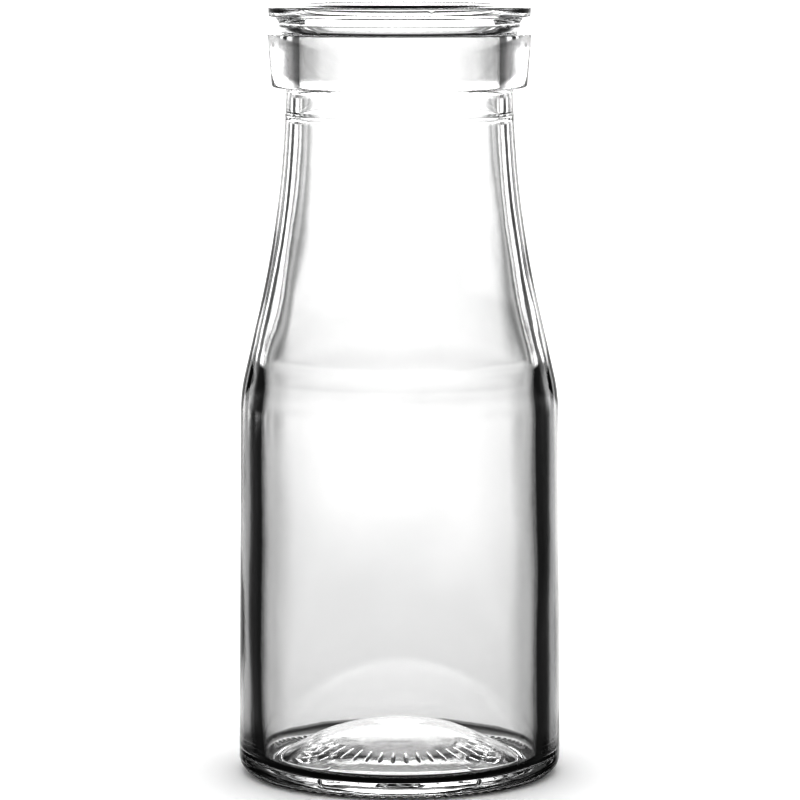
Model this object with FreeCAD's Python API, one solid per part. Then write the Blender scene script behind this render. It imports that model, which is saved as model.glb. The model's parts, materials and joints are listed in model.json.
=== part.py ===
import FreeCAD, Part
import math
import os

# Glass milk bottle, pressed and blown in one piece from clear soda-lime glass.
# Millimetres, +Z up. The origin is the centre of the ring that the bottle stands on.

# Overall sizes
bottle_height = 158.0
heel_radius_out = 33.2  # body radius where it would meet the table
body_draft = 0.65  # how much smaller the body is at the shoulder, on the radius

# Walls
body_wall = 4.4
shoulder_wall = 3.3
neck_wall = 2.55
base_thickness = 4.2  # at the middle of the base

# Mouth and finish, heights measured down from the top of the lip
mouth_radius = 20.5
finish_wall = 4.0  # from the mouth to the bottom of the groove
lip_width = 2.1  # flat of the raised lip
lip_slope = 0.8  # width of the step from the lip down to the bead
lip_height = 0.5  # lip above the bead
bead_reach = 2.2  # snap bead beyond the groove
bead_depth = 2.0  # height of the bead's outer face
bead_slope = 0.35  # height of the slope under the bead
groove_shelf = 0.75  # width of the cone between that slope and the groove
groove_shelf_depth = 1.1
groove_height = 2.1
collar_reach = 2.4  # collar beyond the groove
collar_taper = 0.9  # how much the collar narrows towards its foot
collar_height = 10.9

# Neck and shoulder
neck_length = 42.3  # top of the lip to the corner between neck and shoulder
neck_flare = 1.0  # how much wider the neck is at that corner than under the collar
shoulder_height = 36.9  # from that corner down to the corner at the body
neck_sweep = 220.0  # radius of the long hollow curve below the neck
shoulder_round = 32.0  # radius of the shoulder
parting_drop = 22.6  # top of the lip down to the parting line of the neck ring
parting_height = 0.12
parting_width = 0.5

# Mould seam of the neck ring halves, on the collar
seam_angle = 13.7  # degrees from the front, towards +X
seam_height = 0.07
seam_width = 0.45

# Base
heel_round = 3.4
stand_width = 3.6  # flat of the standing ring
push_up = 6.0  # height of the domed hollow under the base
push_up_corner = 13.0  # radius at which its slope would reach that height
push_up_round = 45.0  # radius of its crown
gutter_floor = 2.7  # height of the gutter round the dome inside
gutter_width = 3.8
gutter_round = 2.0  # at the foot of the dome
floor_round = 2.9  # inside corner between wall and gutter
floor_corner = 13.9  # radius at which the dome's slope inside would reach its top
floor_crown = 39.0  # radius of the dome's crown inside

# Knurling: short notches across the outer half of the standing ring
knurl_count = 88
knurl_land = 0.75  # width left standing between two notches
knurl_depth = 0.38  # at the heel
knurl_reach = 2.0  # how far a notch runs in from the ring's outer edge

# Mould marks under the base: a ring of plain raised bars, with no lettering
mark_count = 42
mark_inset = 10.4  # from the standing ring in to the middle of the bars
mark_length = 2.0
mark_width = 0.4
mark_height = 0.12
key_mark_angles = (-129.0, -51.0)  # two bars near the front that show how the mould was set
key_mark_inset = 3.6  # from the standing ring in to the key bars

# Small roundings
lip_round = 0.6
bead_round = 0.5
groove_round = 0.6
ledge_round = 1.7  # hollow corner where the groove meets the top of the collar
collar_round = 0.6
underside_round = 1.2
edge_round = 0.3

axis_start = FreeCAD.Vector(0, 0, 0)
axis_up = FreeCAD.Vector(0, 0, 1)


def tangent_lengths(corners):
    """How far each rounding reaches along its two sides, kept within the sides."""
    reaches = [0.0]
    for before, here, after in zip(corners, corners[1:], corners[2:]):
        turn = heading(before, here).getAngle(heading(here, after))
        reaches.append(here[2] * math.tan(turn / 2))
    reaches.append(0.0)
    for i in range(len(corners) - 1):
        side = math.dist(corners[i][:2], corners[i + 1][:2])
        together = reaches[i] + reaches[i + 1]
        if together > side:
            share = 0.999 * side / together
            reaches[i] *= share
            reaches[i + 1] *= share
    return reaches


def heading(start, end):
    """Unit vector from one corner (radius, height, rounding) to the next."""
    return FreeCAD.Vector(end[0] - start[0], 0, end[1] - start[1]).normalize()


def rounded_outline(corners):
    """Edges through corners (radius, height, rounding), each rounded by a tangent arc."""
    reaches = tangent_lengths(corners)
    edges = []
    last = FreeCAD.Vector(corners[0][0], 0, corners[0][1])
    for i in range(1, len(corners) - 1):
        corner = FreeCAD.Vector(corners[i][0], 0, corners[i][1])
        arriving = heading(corners[i - 1], corners[i])
        leaving = heading(corners[i], corners[i + 1])
        if reaches[i] < 1e-6:
            edges.append(Part.LineSegment(last, corner).toShape())
            last = corner
            continue
        start = corner - arriving * reaches[i]
        end = corner + leaving * reaches[i]
        half_turn = arriving.getAngle(leaving) / 2
        rounding = reaches[i] / math.tan(half_turn)
        inward = (leaving - arriving).normalize()
        middle = corner + inward * (rounding / math.cos(half_turn) - rounding)
        if (start - last).Length > 1e-6:
            edges.append(Part.LineSegment(last, start).toShape())
        edges.append(Part.Arc(start, middle, end).toShape())
        last = end
    foot = FreeCAD.Vector(corners[-1][0], 0, corners[-1][1])
    edges.append(Part.LineSegment(last, foot).toShape())
    return edges


# Radii and heights that follow from the sizes above
neck_radius = mouth_radius + neck_wall
groove_radius = mouth_radius + finish_wall
bead_radius = groove_radius + bead_reach
collar_radius = groove_radius + collar_reach
collar_foot_radius = collar_radius - collar_taper
body_radius = heel_radius_out - body_draft

bead_top = bottle_height - lip_height
bead_foot = bead_top - bead_depth
shelf_top = bead_foot - bead_slope
groove_top = shelf_top - groove_shelf_depth
ledge = groove_top - groove_height
collar_foot = ledge - collar_height
neck_corner = bottle_height - neck_length
shoulder_corner = neck_corner - shoulder_height
parting_line = bottle_height - parting_drop

neck_foot_radius = neck_radius + neck_flare
cone_slope = (body_radius - neck_foot_radius) / shoulder_height
cone_wall = shoulder_wall * math.hypot(1, cone_slope)
inner_body_radius = body_radius - body_wall
inner_neck_corner = neck_corner + (neck_wall + neck_flare - cone_wall) / cone_slope
inner_shoulder_corner = shoulder_corner + (body_wall - cone_wall) / cone_slope

stand_outer = heel_radius_out - heel_round
stand_inner = stand_outer - stand_width
mark_radius = stand_inner - mark_inset
key_mark_radius = stand_inner - key_mark_inset
floor_middle = push_up + base_thickness
inner_heel_radius = heel_radius_out - body_wall
gutter_edge = inner_heel_radius - gutter_width


def bottle_body():
    """The plain turned bottle, from the hollow under the base round to the floor inside."""
    outside = [
        (0, push_up, 0),
        (push_up_corner, push_up, push_up_round),
        (stand_inner, 0, 1.5),
        (stand_outer + heel_round, 0, heel_round),
        (body_radius, shoulder_corner, shoulder_round),
        (neck_foot_radius, neck_corner, neck_sweep),
    ]
    finish = [
        (neck_radius, collar_foot, underside_round),
        (collar_foot_radius, collar_foot, collar_round),
        (collar_radius, ledge, edge_round),
        (groove_radius, ledge, ledge_round),
        (groove_radius, groove_top, groove_round),
        (groove_radius + groove_shelf, shelf_top, edge_round),
        (bead_radius, bead_foot, edge_round),
        (bead_radius, bead_top, bead_round),
        (mouth_radius + lip_width + lip_slope, bead_top, lip_round),
        (mouth_radius + lip_width, bottle_height, lip_round),
        (mouth_radius, bottle_height, lip_round),
    ]
    inside = [
        (mouth_radius, inner_neck_corner, neck_sweep),
        (inner_body_radius, inner_shoulder_corner, shoulder_round),
        (inner_heel_radius, gutter_floor, floor_round),
        (gutter_edge, gutter_floor, gutter_round),
        (floor_corner, floor_middle, floor_crown),
        (0, floor_middle, 0),
    ]
    edges = rounded_outline(outside + finish + inside)
    foot = FreeCAD.Vector(0, 0, push_up)
    edges.append(Part.LineSegment(FreeCAD.Vector(0, 0, floor_middle), foot).toShape())
    section = Part.Face(Part.Wire(Part.__sortEdges__(edges)))
    return section.revolve(axis_start, axis_up, 360)


def knurl_notches():
    """Round-bottomed notches, from nothing inside the ring to full depth at the heel."""
    pitch = 2 * math.pi * stand_outer / knurl_count
    half_width = (pitch - knurl_land) / 2
    radius = (half_width**2 + knurl_depth**2) / (2 * knurl_depth)
    start = stand_outer - knurl_reach
    slope = math.atan2(knurl_depth, knurl_reach)
    notches = []
    for i in range(knurl_count):
        turn = 2 * math.pi * i / knurl_count
        out = FreeCAD.Vector(math.cos(turn), math.sin(turn), 0)
        along = out * math.cos(slope) + axis_up * math.sin(slope)
        across = axis_up * math.cos(slope) - out * math.sin(slope)
        foot = out * start - across * radius
        notches.append(Part.makeCylinder(radius, 3 * knurl_reach, foot, along))
    return notches


def hollow_at(radius):
    """Height and downward slope, as an angle, of the hollow under the base at a radius."""
    side_slope = math.atan2(push_up, stand_inner - push_up_corner)
    crown_start = push_up_corner - push_up_round * math.tan(side_slope / 2)
    slope = math.asin(min(max(radius - crown_start, 0) / push_up_round, 1))
    if slope < side_slope:
        return push_up - push_up_round * (1 - math.cos(slope)), slope
    return (stand_inner - radius) * math.tan(side_slope), side_slope


def raised_bar(radius, turn, length):
    """One raised bar under the base, lying along the slope of the hollow."""
    under, slope = hollow_at(radius)
    depth = gutter_floor / 2
    corner = FreeCAD.Vector(-length / 2, -mark_width / 2, -mark_height)
    bar = Part.makeBox(length, mark_width, mark_height + depth, corner)
    bar.rotate(axis_start, FreeCAD.Vector(0, 1, 0), math.degrees(slope))
    bar.translate(FreeCAD.Vector(radius, 0, under))
    bar.rotate(axis_start, axis_up, turn)
    return bar


def base_marks():
    """A ring of bars, long and short in turn, and two key bars nearer the standing ring."""
    bars = []
    for i in range(mark_count):
        length = mark_length if i % 3 else mark_length * 0.6
        bars.append(raised_bar(mark_radius, 360 * i / mark_count, length))
    for turn in key_mark_angles:
        bars.append(raised_bar(key_mark_radius, turn, mark_length))
    return bars


def parting_ridge():
    """The fine ridge round the neck where the neck ring met the blow mould."""
    flare_here = neck_flare * (collar_foot - parting_line) / (collar_foot - neck_corner)
    crest = neck_radius + flare_here + parting_height
    root = crest - neck_wall / 2
    outline = [
        (root, parting_line - parting_width / 2, 0),
        (crest, parting_line - parting_width / 2, parting_height),
        (crest, parting_line + parting_width / 2, parting_height),
        (root, parting_line + parting_width / 2, 0),
    ]
    edges = rounded_outline(outline)
    closing = (outline[3], outline[0])
    ends = [FreeCAD.Vector(corner[0], 0, corner[1]) for corner in closing]
    edges.append(Part.LineSegment(ends[0], ends[1]).toShape())
    section = Part.Face(Part.Wire(Part.__sortEdges__(edges)))
    return section.revolve(axis_start, axis_up, 360)


def collar_seams():
    """Two upright seams, opposite each other, that follow the collar's taper."""
    root = collar_foot_radius - finish_wall / 2
    low = collar_foot + collar_round
    high = ledge - edge_round
    taper = collar_taper / collar_height
    corners = [
        FreeCAD.Vector(root, 0, low),
        FreeCAD.Vector(collar_foot_radius + taper * (low - collar_foot) + seam_height, 0, low),
        FreeCAD.Vector(collar_foot_radius + taper * (high - collar_foot) + seam_height, 0, high),
        FreeCAD.Vector(root, 0, high),
    ]
    section = Part.Face(Part.makePolygon(corners + corners[:1]))
    section.translate(FreeCAD.Vector(0, -seam_width / 2, 0))
    seams = []
    for turn in (seam_angle - 90, seam_angle + 90):
        seam = section.extrude(FreeCAD.Vector(0, seam_width, 0))
        seam.rotate(axis_start, axis_up, turn)
        seams.append(seam)
    return seams


def glass_bottle():
    """The whole bottle as one solid, with its knurling, mould marks and seams."""
    body = bottle_body().cut(knurl_notches())
    return body.fuse(base_marks() + [parting_ridge()] + collar_seams())


bottle = glass_bottle()
solid = bottle.Solids[0]
os.makedirs("parts", exist_ok=True)
solid.exportStep("parts/glass_bottle.step")

glass_density = 0.0025  # grams per cubic millimetre
print("glass_bottle:", len(bottle.Solids), "solid, valid", solid.isValid())
print("mass about", round(solid.Volume * glass_density), "g")
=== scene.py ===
import json
import math

import bmesh
import bpy
from mathutils import Matrix, Vector, noise

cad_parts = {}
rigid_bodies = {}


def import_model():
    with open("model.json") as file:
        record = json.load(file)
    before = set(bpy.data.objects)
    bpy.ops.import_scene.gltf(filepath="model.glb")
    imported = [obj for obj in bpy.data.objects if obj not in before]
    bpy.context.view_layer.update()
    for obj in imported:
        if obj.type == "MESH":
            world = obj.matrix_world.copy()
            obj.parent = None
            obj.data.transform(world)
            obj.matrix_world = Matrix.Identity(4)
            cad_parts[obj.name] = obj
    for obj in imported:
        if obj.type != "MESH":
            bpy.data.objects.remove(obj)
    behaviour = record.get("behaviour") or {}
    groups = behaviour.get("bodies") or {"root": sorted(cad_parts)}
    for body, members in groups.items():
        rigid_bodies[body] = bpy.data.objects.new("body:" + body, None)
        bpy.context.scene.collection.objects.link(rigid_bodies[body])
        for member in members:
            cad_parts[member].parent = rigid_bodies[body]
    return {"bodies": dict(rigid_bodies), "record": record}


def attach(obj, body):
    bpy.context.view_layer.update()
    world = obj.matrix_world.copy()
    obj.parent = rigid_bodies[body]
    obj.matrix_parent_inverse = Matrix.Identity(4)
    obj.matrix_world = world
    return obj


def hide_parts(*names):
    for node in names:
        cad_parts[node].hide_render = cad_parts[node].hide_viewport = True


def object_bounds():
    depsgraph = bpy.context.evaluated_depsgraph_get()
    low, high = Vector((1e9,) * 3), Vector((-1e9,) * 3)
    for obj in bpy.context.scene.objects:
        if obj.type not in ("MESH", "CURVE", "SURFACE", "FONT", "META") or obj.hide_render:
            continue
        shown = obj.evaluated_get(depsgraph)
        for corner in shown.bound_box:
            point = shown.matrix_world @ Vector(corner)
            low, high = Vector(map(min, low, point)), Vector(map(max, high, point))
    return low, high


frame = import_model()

cad_low, cad_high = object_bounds()

# ---------------------------------------------------------------------------
# The bottle
# One piece of clear soda-lime glass. The neck ring and the two halves of the
# mould give it its outside, and air blows the hollow, so the outside is crisp
# and the inside is soft and a little uneven.

MM = 0.001
mounts = {mount["name"]: mount for mount in frame["record"]["mounts"]}
bottle_height = (cad_high.z - cad_low.z) / MM
mouth_radius = mounts["mouth"]["dims"]["r_mm"]
bead_radius = mounts["snap_bead"]["dims"]["r_mm"]

# Walls, in millimetres as every size here
neck_wall = 2.55
shoulder_wall = 3.3
body_wall = 4.4

# Finish, from the lip down to the collar
finish_wall = 4.0
lip_width = 2.1
lip_slope = 0.8
lip_height = 0.5
bead_depth = 2.0
bead_slope = 0.35
groove_shelf = 0.75
groove_shelf_depth = 1.1
groove_height = 2.1
collar_reach = 2.4
collar_taper = 0.9
collar_height = 10.9
groove_radius = mouth_radius + finish_wall
collar_radius = groove_radius + collar_reach
collar_foot_radius = collar_radius - collar_taper
bead_top = bottle_height - lip_height
bead_foot = bead_top - bead_depth
shelf_top = bead_foot - bead_slope
groove_top = shelf_top - groove_shelf_depth
ledge = groove_top - groove_height
collar_foot = ledge - collar_height

# Neck, shoulder and body
neck_length = 42.3
neck_flare = 1.0
shoulder_height = 36.9
neck_sweep = 220.0
shoulder_round = 32.0
parting_drop = 22.6
heel_radius = 33.2
body_draft = 0.65
body_radius = heel_radius - body_draft
neck_radius = mouth_radius + neck_wall
neck_foot_radius = neck_radius + neck_flare
parting_line = bottle_height - parting_drop
neck_corner = bottle_height - neck_length
shoulder_corner = neck_corner - shoulder_height
cone_slope = (body_radius - neck_foot_radius) / (neck_corner - shoulder_corner)
cone_wall = shoulder_wall * math.hypot(1, cone_slope)
inner_neck_corner = neck_corner + (neck_foot_radius - mouth_radius - cone_wall) / cone_slope
inner_shoulder_corner = shoulder_corner + (body_wall - cone_wall) / cone_slope

# The base: hollow underneath, standing ring, heel, and the floor inside
heel_round = 3.4
heel_top = 4.0
heel_bulge = heel_radius - 0.03
stand_width = 3.6
stand_outer = heel_radius - heel_round
stand_inner = stand_outer - stand_width
push_up = 6.0
dome_shoulder = 13.0
base_thickness = 4.2
floor_middle = push_up + base_thickness
floor_shoulder = dome_shoulder + 0.9
floor_side = 2.7
gutter_width = 3.8
inner_heel_radius = heel_radius - body_wall

# Roundings
push_up_round = 45.0
stand_round = 1.5
underside_round = 1.2
collar_round = 0.6
ledge_round = 1.7
groove_round = 0.6
bead_round = 0.5
lip_round = 0.6
edge_round = 0.3
floor_round = 2.9
gutter_round = 2.0
floor_crown = 39.0

# Each corner of an outline is (radius, height, rounding, steps along the side
# that leads to it, steps round the bend).
underside = [
    (0, push_up, 0, 0, 0),
    (dome_shoulder, push_up, push_up_round, 3, 22),
    (stand_inner, 0, stand_round, 14, 5),
    (stand_outer + heel_round, 0, heel_round, 7, 14),
    (heel_bulge, heel_top, 0, 1, 0),
]
wall_and_inside = [
    (heel_bulge, heel_top, 0, 0, 0),
    (body_radius, shoulder_corner, shoulder_round, 14, 8),
    (neck_foot_radius, neck_corner, neck_sweep, 5, 16),
    (neck_radius, collar_foot, underside_round, 3, 5),
    (collar_foot_radius, collar_foot, collar_round, 2, 4),
    (collar_radius, ledge, edge_round, 4, 3),
    (groove_radius, ledge, ledge_round, 2, 9),
    (groove_radius, groove_top, groove_round, 1, 3),
    (groove_radius + groove_shelf, shelf_top, edge_round, 1, 3),
    (bead_radius, bead_foot, edge_round, 2, 3),
    (bead_radius, bead_top, bead_round, 2, 4),
    (mouth_radius + lip_width + lip_slope, bead_top, lip_round, 2, 3),
    (mouth_radius + lip_width, bottle_height, lip_round, 1, 3),
    (mouth_radius, bottle_height, lip_round, 1, 4),
    (mouth_radius, inner_neck_corner, neck_sweep, 6, 14),
    (body_radius - body_wall, inner_shoulder_corner, shoulder_round, 5, 7),
    (inner_heel_radius, floor_side, floor_round, 12, 9),
    (inner_heel_radius - gutter_width, floor_side, gutter_round, 1, 4),
    (floor_shoulder, floor_middle, floor_crown, 2, 24),
    (1.0, floor_middle, 0, 2, 0),
]


def turned_outline(corners):
    """Points (radius, height) along an outline, with each rounding as a tangent arc."""
    points = [Vector(corners[0][:2])]
    for before, here, after in zip(corners, corners[1:], corners[2:] + [None]):
        corner = Vector(here[:2])
        arriving = (corner - Vector(before[:2])).normalized()
        rounding = here[2]
        if after is None or rounding == 0:
            bend = [corner]
        else:
            leaving = (Vector(after[:2]) - corner).normalized()
            half_turn = arriving.angle(leaving) / 2
            start = corner - arriving * rounding * math.tan(half_turn)
            centre = corner + (leaving - arriving).normalized() * rounding / math.cos(half_turn)
            hand = 1 if arriving.x * leaving.y - arriving.y * leaving.x > 0 else -1
            bend = []
            for k in range(here[4] + 1):
                swing = Matrix.Rotation(hand * 2 * half_turn * k / here[4], 2)
                bend.append(centre + swing @ (start - centre))
        last = points[-1]
        for k in range(1, here[3]):
            points.append(last.lerp(bend[0], k / here[3]))
        points.extend(bend)
    return points


# The neck ring's two halves leave an upright seam on the front and the back of
# the finish. Columns of the mesh are drawn together there to carry it.
seam_turn = math.radians(-90 + 13.7)
seam_height = 0.07
seam_half_width = 0.3
seam_end = bead_top - 0.4
parting_height = 0.12
parting_half_width = 0.28


def apart(turn, other):
    """Signed angle from other to turn, between minus and plus half a turn."""
    return (turn - other + math.pi) % (2 * math.pi) - math.pi


def column_turn(share):
    """Angle of a mesh column, from its share of the way round."""
    turn = 2 * math.pi * share
    for seam in (seam_turn, seam_turn + math.pi):
        off = apart(turn, seam)
        turn -= 0.8 * off * math.exp(-((off / math.radians(6)) ** 2))
    return turn


def ridge(distance, half_width):
    """Height, from 1 to 0, across a smooth moulded ridge."""
    if abs(distance) > half_width:
        return 0.0
    return 0.5 + 0.5 * math.cos(math.pi * distance / half_width)


# Short round-bottomed notches knurl the outer half of the standing ring, so
# that the hot bottle only touches the belt on small lands.
knurl_count = 88
knurl_pitch = 2 * math.pi * stand_outer / knurl_count
knurl_depth = 0.38
knurl_reach = 2.0
knurl_land = 0.75
knurl_half_width = (knurl_pitch - knurl_land) / 2
knurl_radius = (knurl_half_width**2 + knurl_depth**2) / (2 * knurl_depth)


def knurl_floor(radius, turn):
    """Height of the notch's surface at a point, or below the table between notches."""
    step = 2 * math.pi / knurl_count
    off = (turn + step / 2) % step - step / 2
    across = radius * math.sin(off)
    if abs(across) >= knurl_radius or radius < stand_outer - knurl_reach:
        return -1.0
    fall = (radius - stand_outer + knurl_reach) * knurl_depth / knurl_reach
    return fall - knurl_radius + math.sqrt(knurl_radius**2 - across**2)


# Raised bars under the base: a plain ring of long and short ones, and two
# key bars that show how the mould was set. They carry no lettering.
mark_count = 42
mark_radius = stand_inner - 10.4
mark_length = 2.0
mark_width = 0.4
mark_height = 0.12
mark_edge = 0.3
key_mark_angles = (-129.0, -51.0)
key_mark_radius = stand_inner - 3.6


def bar_height(x, y, centre_turn, centre_radius, length):
    """Height, from 0 to 1, of one raised bar at a point under the base."""
    along = Vector((math.cos(centre_turn), math.sin(centre_turn)))
    off = Vector((x, y)) - along * centre_radius
    end_gap = abs(off.dot(along)) - length / 2
    side_gap = abs(along.x * off.y - along.y * off.x) - mark_width / 2
    edge = max(end_gap, side_gap)
    return min(1.0, max(0.0, 0.5 - edge / mark_edge))


def base_marks(radius, turn):
    """How far the mould marks stand down from the hollow at a point."""
    x = radius * math.cos(turn)
    y = radius * math.sin(turn)
    step = 2 * math.pi / mark_count
    number = round(turn / step)
    length = mark_length if number % 3 else mark_length * 0.6
    high = bar_height(x, y, number * step, mark_radius, length)
    for angle in key_mark_angles:
        key = bar_height(x, y, math.radians(angle), key_mark_radius, mark_length)
        high = max(high, key)
    return mark_height * high


def pressed(radius, height, turn):
    """Under the base: raised marks in the hollow and knurling on the standing ring."""
    if mark_radius - mark_length < radius < stand_inner:
        height -= base_marks(radius, turn)
    return radius, max(height, knurl_floor(radius, turn))


def moulded(radius, height, turn):
    """The outside above the heel: the parting line and the seams of the neck ring."""
    off = height - parting_line
    radius += parting_height * ridge(off, parting_half_width)
    if collar_foot < height < seam_end and radius > collar_foot_radius - 0.1:
        for seam in (seam_turn, seam_turn + math.pi):
            radius += seam_height * ridge(apart(turn, seam) * radius, seam_half_width)
    return radius, height


# The unevenness of the blown inside, which dies away towards the bore
broad_swell = 0.22
small_swell = 0.07
wall_wave = 0.05
calm_stretch = 25.0
floor_calm_radius = 12.0


def blown(radius, height, turn):
    """The inside: the wall swells and thins a little, as blown glass does."""
    freedom = min(1.0, max(0.0, (parting_line - height) / calm_stretch))
    spot = Vector((math.cos(turn) * 1.1, math.sin(turn) * 1.1, height * 0.035))
    swell = broad_swell * noise.noise(spot) + small_swell * noise.noise(spot * 3.1)
    wave = wall_wave * noise.noise(Vector((height * 0.16, math.cos(turn) * 0.4, 7.0)))
    if radius > floor_calm_radius:
        radius += freedom * (swell + wave)
    return radius, height


def ring_of_points(mesh, point, count, shape):
    """One ring of vertices round the axis, shaped by the mould or by the air."""
    ring = []
    for i in range(count):
        turn = column_turn(i / count)
        radius, height = shape(point.x, point.y, turn)
        place = Vector((radius * math.cos(turn), radius * math.sin(turn), height))
        ring.append(mesh.verts.new(place * MM))
    return ring


def join_rings(mesh, lower, upper):
    """Faces between two rings; one of them may have three times the columns."""
    if len(lower) == len(upper):
        for i in range(len(lower)):
            j = (i + 1) % len(lower)
            mesh.faces.new((lower[i], lower[j], upper[j], upper[i]))
        return
    fine, coarse = (lower, upper) if len(lower) > len(upper) else (upper, lower)
    for i in range(len(coarse)):
        a, b = coarse[i], coarse[(i + 1) % len(coarse)]
        f = [fine[(3 * i + k) % len(fine)] for k in range(4)]
        for corners in ((f[0], f[1], a), (f[1], f[2], b, a), (f[2], f[3], b)):
            mesh.faces.new(corners if fine is lower else corners[::-1])


coarse_columns = 264
fine_columns = 3 * coarse_columns
glass = bmesh.new()
rings = []
for point in turned_outline(underside)[1:]:
    columns = coarse_columns if point.x < mark_radius - mark_length else fine_columns
    rings.append(ring_of_points(glass, point, columns, pressed))
outline = turned_outline(wall_and_inside)[1:]
for share in (1, 0.5, 0, -0.5, -1):
    line = parting_line + share * parting_half_width
    k = next(k for k, point in enumerate(outline) if point.y > line)
    foot, top = outline[k - 1], outline[k]
    outline.insert(k, foot.lerp(top, (line - foot.y) / (top.y - foot.y)))
inside_begins = [k for k, point in enumerate(outline) if point.y > bottle_height - 0.001][-1]
for k, point in enumerate(outline):
    shape = moulded if k <= inside_begins else blown
    rings.append(ring_of_points(glass, point, coarse_columns, shape))
for lower, upper in zip(rings, rings[1:]):
    join_rings(glass, lower, upper)
under_pole = glass.verts.new(Vector((0, 0, push_up)) * MM)
floor_pole = glass.verts.new(Vector((0, 0, floor_middle)) * MM)
for i in range(coarse_columns):
    j = (i + 1) % coarse_columns
    glass.faces.new((rings[0][j], rings[0][i], under_pole))
    glass.faces.new((rings[-1][i], rings[-1][j], floor_pole))
bmesh.ops.recalc_face_normals(glass, faces=glass.faces)

bottle_mesh = bpy.data.meshes.new("glass_bottle_body")
glass.to_mesh(bottle_mesh)
glass.free()
bottle_mesh.shade_smooth()
bottle = bpy.data.objects.new("glass_bottle_body", bottle_mesh)
bpy.context.scene.collection.objects.link(bottle)

# The glass itself: clear and fire-polished, with the faint ripple of a mould
# face, and a satin wear on the lands that touch the belt and the shelf.
clear_glass = bpy.data.materials.new("clear_glass")
clear_glass.use_nodes = True
nodes = clear_glass.node_tree.nodes
links = clear_glass.node_tree.links
shader = nodes["Principled BSDF"]
shader.inputs["Base Color"].default_value = (1, 1, 1, 1)
shader.inputs["Transmission Weight"].default_value = 1.0
shader.inputs["IOR"].default_value = 1.52

mould_face = bpy.data.node_groups.new("mould_face", "ShaderNodeTree")
sockets = mould_face.interface
for name in ("Ripple Size", "Ripple Height", "Worn Roughness"):
    sockets.new_socket(name, in_out="INPUT", socket_type="NodeSocketFloat")
sockets.new_socket("Roughness", in_out="OUTPUT", socket_type="NodeSocketFloat")
sockets.new_socket("Normal", in_out="OUTPUT", socket_type="NodeSocketVector")
inner = mould_face.nodes
wires = mould_face.links
given = inner.new("NodeGroupInput")
result = inner.new("NodeGroupOutput")
on_glass = inner.new("ShaderNodeTexCoord")

# Ripple: the iron mould's face leaves shallow, broken waves in the skin
ripple = inner.new("ShaderNodeTexNoise")
ripple.inputs["Detail"].default_value = 2.0
ripple.inputs["Roughness"].default_value = 0.45
wires.new(on_glass.outputs["Object"], ripple.inputs["Vector"])
wires.new(given.outputs["Ripple Size"], ripple.inputs["Scale"])
skin = inner.new("ShaderNodeBump")
wires.new(given.outputs["Ripple Height"], skin.inputs["Distance"])
wires.new(ripple.outputs["Fac"], skin.inputs["Height"])
wires.new(skin.outputs["Normal"], result.inputs["Normal"])

# Wear: the lowest part of the standing ring is scuffed satin, in patches
height_here = inner.new("ShaderNodeSeparateXYZ")
wires.new(on_glass.outputs["Object"], height_here.inputs["Vector"])
near_table = inner.new("ShaderNodeMapRange")
near_table.inputs["From Min"].default_value = 0.4 * MM
near_table.inputs["From Max"].default_value = 0.05 * MM
wires.new(height_here.outputs["Z"], near_table.inputs["Value"])
scuffs = inner.new("ShaderNodeTexNoise")
scuffs.inputs["Scale"].default_value = 900.0
scuffs.inputs["Detail"].default_value = 4.0
wires.new(on_glass.outputs["Object"], scuffs.inputs["Vector"])
patches = inner.new("ShaderNodeMath")
patches.operation = "MULTIPLY"
wires.new(near_table.outputs["Result"], patches.inputs[0])
wires.new(scuffs.outputs["Fac"], patches.inputs[1])
worn = inner.new("ShaderNodeMath")
worn.operation = "MULTIPLY"
wires.new(patches.outputs[0], worn.inputs[0])
wires.new(given.outputs["Worn Roughness"], worn.inputs[1])
wires.new(worn.outputs[0], result.inputs["Roughness"])

face = nodes.new("ShaderNodeGroup")
face.node_tree = mould_face
face.inputs["Ripple Size"].default_value = 260.0
face.inputs["Ripple Height"].default_value = 0.008 * MM
face.inputs["Worn Roughness"].default_value = 0.3
links.new(face.outputs["Roughness"], shader.inputs["Roughness"])
links.new(face.outputs["Normal"], shader.inputs["Normal"])
depth = nodes.new("ShaderNodeVolumeAbsorption")
depth.inputs["Color"].default_value = (0.6, 0.6, 0.6, 1)
depth.inputs["Density"].default_value = 22.0
links.new(depth.outputs["Volume"], nodes["Material Output"].inputs["Volume"])
bottle_mesh.materials.append(clear_glass)

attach(bottle, list(frame["bodies"])[0])
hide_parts("glass_bottle")

# ---------------------------------------------------------------------------
# The studio
# A plain pale floor, an even white room, and a tent that only the glass sees:
# white behind and in front of the bottle, dark to its left and right.

floor_mesh = bpy.data.meshes.new("floor")
floor_edge = 6.0
floor_height = cad_low.z - 0.05 * MM
floor_mesh.from_pydata([
    (-floor_edge, -floor_edge, floor_height),
    (floor_edge, -floor_edge, floor_height),
    (floor_edge, floor_edge, floor_height),
    (-floor_edge, floor_edge, floor_height),
], [], [(0, 1, 2, 3)])
floor = bpy.data.objects.new("floor", floor_mesh)
bpy.context.scene.collection.objects.link(floor)
floor_paint = bpy.data.materials.new("floor_paint")
floor_paint.use_nodes = True
floor_shader = floor_paint.node_tree.nodes["Principled BSDF"]
floor_shader.inputs["Base Color"].default_value = (0.9, 0.9, 0.9, 1)
floor_shader.inputs["Roughness"].default_value = 0.9
floor_mesh.materials.append(floor_paint)
floor.visible_transmission = False
floor.visible_glossy = False

room = bpy.data.worlds.new("white_room")
room.use_nodes = True
room.node_tree.nodes["Background"].inputs["Color"].default_value = (1, 1, 1, 1)
room.node_tree.nodes["Background"].inputs["Strength"].default_value = 1.4
bpy.context.scene.world = room

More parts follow.
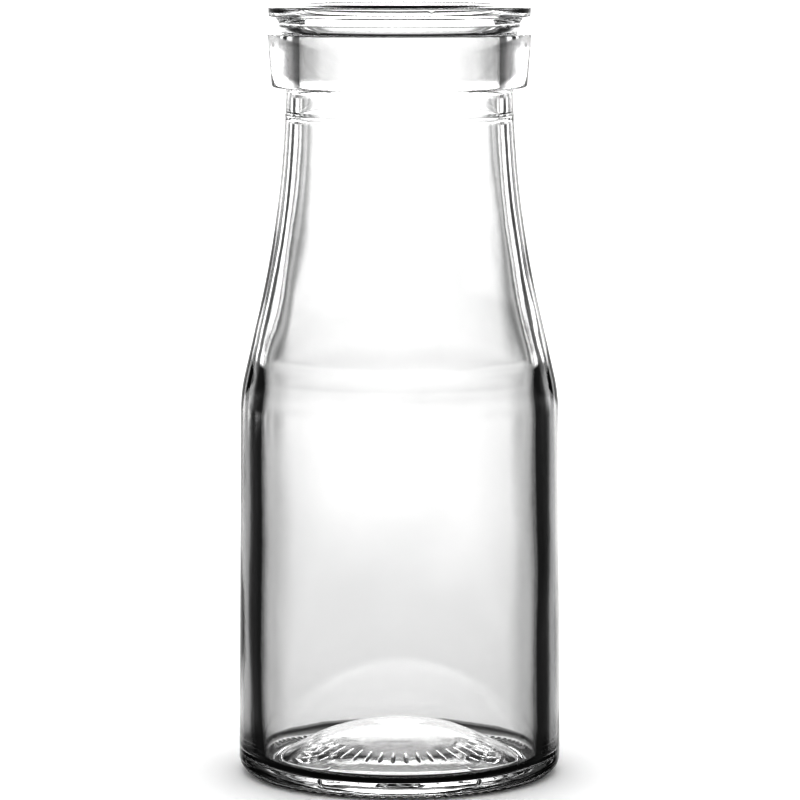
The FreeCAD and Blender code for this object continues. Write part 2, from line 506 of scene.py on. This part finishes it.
camera_data = bpy.data.cameras.new("camera")
camera_data.lens = 185.3
camera_data.sensor_width = 36
camera = bpy.data.objects.new("camera", camera_data)
bpy.context.scene.collection.objects.link(camera)
camera.location = (0.0001, -0.84, 0.175)
aim = Vector((0.0001, 0, 0.0769))
camera.rotation_euler = (aim - camera.location).to_track_quat("-Z", "Y").to_euler()
camera_data.clip_start = 0.01
bpy.context.scene.camera = camera

tent_radius = 0.55
bm = bmesh.new()
bmesh.ops.create_icosphere(bm, subdivisions=5, radius=tent_radius)
tent_mesh = bpy.data.meshes.new("light_tent")
bm.to_mesh(tent_mesh)
bm.free()
tent = bpy.data.objects.new("light_tent", tent_mesh)
bpy.context.scene.collection.objects.link(tent)
tent.parent = camera
tent.location = (0, 0, -(aim - camera.location).length)
tent_cloth = bpy.data.materials.new("tent_cloth")
tent_cloth.use_nodes = True
nodes = tent_cloth.node_tree.nodes
links = tent_cloth.node_tree.links
nodes.clear()
place = nodes.new("ShaderNodeTexCoord")
split = nodes.new("ShaderNodeSeparateXYZ")
links.new(place.outputs["Object"], split.inputs["Vector"])
across = nodes.new("ShaderNodeMath")
across.operation = "ABSOLUTE"
links.new(split.outputs["X"], across.inputs[0])
behind = nodes.new("ShaderNodeMath")
behind.operation = "MULTIPLY"
behind.inputs[1].default_value = -1.0
links.new(split.outputs["Z"], behind.inputs[0])
swing = nodes.new("ShaderNodeMath")
swing.operation = "ARCTAN2"
links.new(across.outputs[0], swing.inputs[0])
links.new(behind.outputs[0], swing.inputs[1])


def cloth_fade(value, low, high, steps):
    """Greys along one direction of the tent, as (value, grey) steps."""
    spread = nodes.new("ShaderNodeMapRange")
    spread.inputs["From Min"].default_value = low
    spread.inputs["From Max"].default_value = high
    fade = nodes.new("ShaderNodeValToRGB")
    links.new(value, spread.inputs["Value"])
    links.new(spread.outputs["Result"], fade.inputs["Fac"])
    ramp = fade.color_ramp
    ramp.interpolation = "EASE"
    while len(ramp.elements) < len(steps):
        ramp.elements.new(0.5)
    for element, (place_on_cloth, grey) in zip(ramp.elements, steps):
        element.position = (place_on_cloth - low) / (high - low)
        element.color = (grey, grey, grey, 1)
    return fade.outputs["Color"]


strongest_light = 1.6


def greys_by_angle(steps):
    """Angles in degrees to radians, and brightness to a share of the strongest light."""
    return [(math.radians(angle), grey / strongest_light) for angle, grey in steps]


# Angles are from straight behind the bottle. Low down there is white card, then
# a dark flag, then lit walls; higher up strip lights stand between black flags,
# and at the height of the collar the card fades slowly to black.
low_steps = greys_by_angle((
    (0, 1.12), (12, 1.08), (18, 0.95), (23, 0.8), (28, 0.6),
    (32, 0.2), (37, 0.06), (50, 0.05), (66, 0.5), (180, 1.3),
))
high_steps = greys_by_angle((
    (0, 1.12), (12, 1.1), (17, 0.6), (20, 0.85), (24, 0.32), (27, 1.5), (31, 1.5),
    (34, 0.1), (39, 0.08), (42, 1.2), (48, 1.3), (54, 0.3), (62, 0.3), (70, 1.2), (180, 1.4),
))
top_steps = greys_by_angle((
    (0, 1.15), (15, 1.1), (25, 0.9), (35, 0.72), (45, 0.42), (57, 0.2), (70, 0.02), (90, 0.04), (180, 0.35),
))


def higher_up(lower, upper, start, end):
    """Change from one part of the tent to the next between two heights."""
    rise = nodes.new("ShaderNodeMapRange")
    rise.interpolation_type = "SMOOTHSTEP"
    rise.inputs["From Min"].default_value = start * tent_radius
    rise.inputs["From Max"].default_value = end * tent_radius
    links.new(split.outputs["Y"], rise.inputs["Value"])
    join = nodes.new("ShaderNodeMix")
    join.data_type = "RGBA"
    links.new(rise.outputs["Result"], join.inputs["Factor"])
    links.new(lower, join.inputs["A"])
    links.new(upper, join.inputs["B"])
    return join.outputs["Result"]


low_round = cloth_fade(swing.outputs[0], 0, math.pi, low_steps)
high_round = cloth_fade(swing.outputs[0], 0, math.pi, high_steps)
top_round = cloth_fade(swing.outputs[0], 0, math.pi, top_steps)
sides = higher_up(low_round, high_round, -0.05, 0.04)
sides = higher_up(sides, top_round, 0.16, 0.2)

# From straight down to straight up: a dark table, the even card, then a bright
# panel above and behind the bottle, which lights the floor of its inside.
height_steps = (
    (-1.0, 0.02), (-0.5, 0.02), (-0.38, 0.1), (-0.3, 0.45), (-0.24, 0.95), (-0.12, 0.97), (-0.05, 1.05),
    (0.03, 1.12), (0.1, 1.12), (0.3, 1.02), (0.36, 3.2), (0.68, 3.2), (0.82, 1.2), (0.92, 0.1),
)
height_steps = [(share * tent_radius, grey) for share, grey in height_steps]
heights = cloth_fade(split.outputs["Y"], -tent_radius, tent_radius, height_steps)
both = nodes.new("ShaderNodeMix")
both.data_type = "RGBA"
both.blend_type = "MULTIPLY"
both.inputs["Factor"].default_value = 1.0
links.new(sides, both.inputs["A"])
links.new(heights, both.inputs["B"])
glow = nodes.new("ShaderNodeEmission")
glow.inputs["Strength"].default_value = strongest_light
links.new(both.outputs["Result"], glow.inputs["Color"])
out = nodes.new("ShaderNodeOutputMaterial")
links.new(glow.outputs["Emission"], out.inputs["Surface"])
tent_mesh.materials.append(tent_cloth)
tent.visible_camera = False
tent.visible_diffuse = False
tent.visible_shadow = False

bpy.context.scene.view_settings.view_transform = "Standard"
bpy.context.scene.view_settings.gamma = 0.5
bpy.context.scene.cycles.max_bounces = 32
bpy.context.scene.cycles.transmission_bounces = 32
bpy.context.scene.cycles.glossy_bounces = 16
